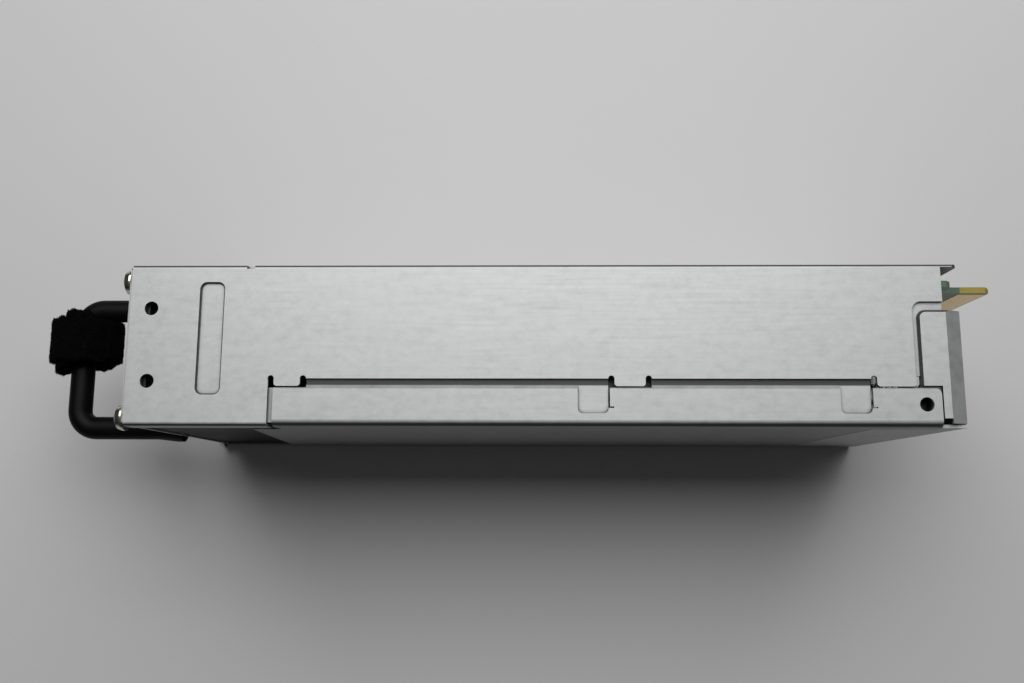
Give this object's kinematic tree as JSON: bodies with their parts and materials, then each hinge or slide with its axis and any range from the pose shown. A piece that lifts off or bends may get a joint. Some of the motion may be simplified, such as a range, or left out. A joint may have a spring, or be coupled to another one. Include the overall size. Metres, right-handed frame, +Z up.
{
  "type": "hot swap server power supply",
  "caption": "Slim steel plug-in power supply module with a looped pull handle, strap, fan, mains inlet, release latch and a card edge at the rear.",
  "frame": {"origin": "middle of the narrow side that the unit stands on, halfway along the side walls and halfway between cover and base", "axes": "+X from the front plate to the card edge, +Y from the sliding cover to the tray's base, +Z up across the wide faces"},
  "size_m": [0.2577, 0.043, 0.086],
  "materials": {
    "zinc_steel": "zinc-plated sheet, fine rolled grain",
    "plated_rod": "nickel-plated, lightly polished",
    "screw_steel": "zinc-plated",
    "strap_fabric": "woven hook and loop tape",
    "circuit_board": "solder mask",
    "gold_plate": "gold flash",
    "black_film": "polycarbonate film",
    "black_plastic": "glass-filled",
    "fan_steel": "ground",
    "copper_coil": "enamelled wire",
    "magnet_black": "bonded ferrite",
    "blade_plate": "nickel-plated brass",
    "brown_wire": "insulated lead",
    "blue_wire": "insulated lead",
    "green_wire": "insulated lead",
    "black_wire": "insulated lead",
    "latch_plastic": "moulded, fine texture",
    "clear_plastic": "clear light guide",
    "led_body": "tinted lens",
    "ferrite": "sintered",
    "film_box": "moulded box",
    "can_sleeve": "shrink sleeve",
    "sink_aluminium": "extruded",
    "epoxy_black": "moulded epoxy",
    "tape_yellow": "winding tape",
    "fuse_ceramic": "tube with plated caps",
    "white_nylon": "moulded"
  },
  "bodies": {
    "case": {"chassis_tray": "zinc_steel", "slide_cover": "zinc_steel", "rear_cover": "zinc_steel", "front_plate": "zinc_steel", "front_plate_screws": "screw_steel", "handle": "plated_rod", "hook_and_loop_strap": "strap_fabric", "main_board": "circuit_board", "edge_contacts": "gold_plate", "front_insulator": "black_film", "fan_frame": "black_plastic", "fan_stator": "copper_coil", "fan_bearings": "fan_steel", "fan_guard": "zinc_steel", "fan_screws": "screw_steel", "fan_lead": "black_wire", "fan_connector": "white_nylon", "inlet_body": "black_plastic", "inlet_blades": "blade_plate", "live_wire": "brown_wire", "neutral_wire": "blue_wire", "earth_wire": "green_wire", "earth_stud": "screw_steel", "earth_lug": "blade_plate", "latch_bracket": "zinc_steel", "latch_pin": "fan_steel", "latch_spring": "fan_steel", "status_light_pipe": "clear_plastic", "status_led": "led_body", "board_standoffs": "fan_steel", "board_screws": "screw_steel", "base_insulator": "black_film", "fuse": "fuse_ceramic", "line_choke_core": "ferrite", "line_choke_windings": "copper_coil", "x_capacitors": "film_box", "bridge_rectifier": "epoxy_black", "relay": "black_plastic", "pfc_choke_core": "ferrite", "pfc_choke_winding": "copper_coil", "bulk_capacitors": "can_sleeve", "primary_heat_sink": "sink_aluminium", "primary_transistors": "epoxy_black", "transformer_core": "ferrite", "transformer_winding": "tape_yellow", "secondary_heat_sink": "sink_aluminium", "secondary_transistors": "epoxy_black", "output_choke": "ferrite", "output_capacitors": "can_sleeve", "control_board": "circuit_board", "control_chips": "epoxy_black"},
    "latch": {"release_latch": "latch_plastic"},
    "rotor": {"fan_rotor": "black_plastic", "fan_magnet": "magnet_black", "fan_shaft": "fan_steel"}
  },
  "joints": [
    {"name": "latch_press", "type": "hinge", "parent": "case", "child": "latch", "pos_m": [-0.0674, 0.0146, 0.021], "axis": [0, 0, 1], "range_deg": [0, 7], "stiffness_Nm_per_rad": 0.5, "springref_deg": -8.59, "deforming": ["latch_spring"]},
    {"name": "fan_spin", "type": "hinge", "parent": "case", "child": "rotor", "pos_m": [-0.0861, 0.0001, 0.0652], "axis": [1, 0, 0], "continuous": true}
  ]
}
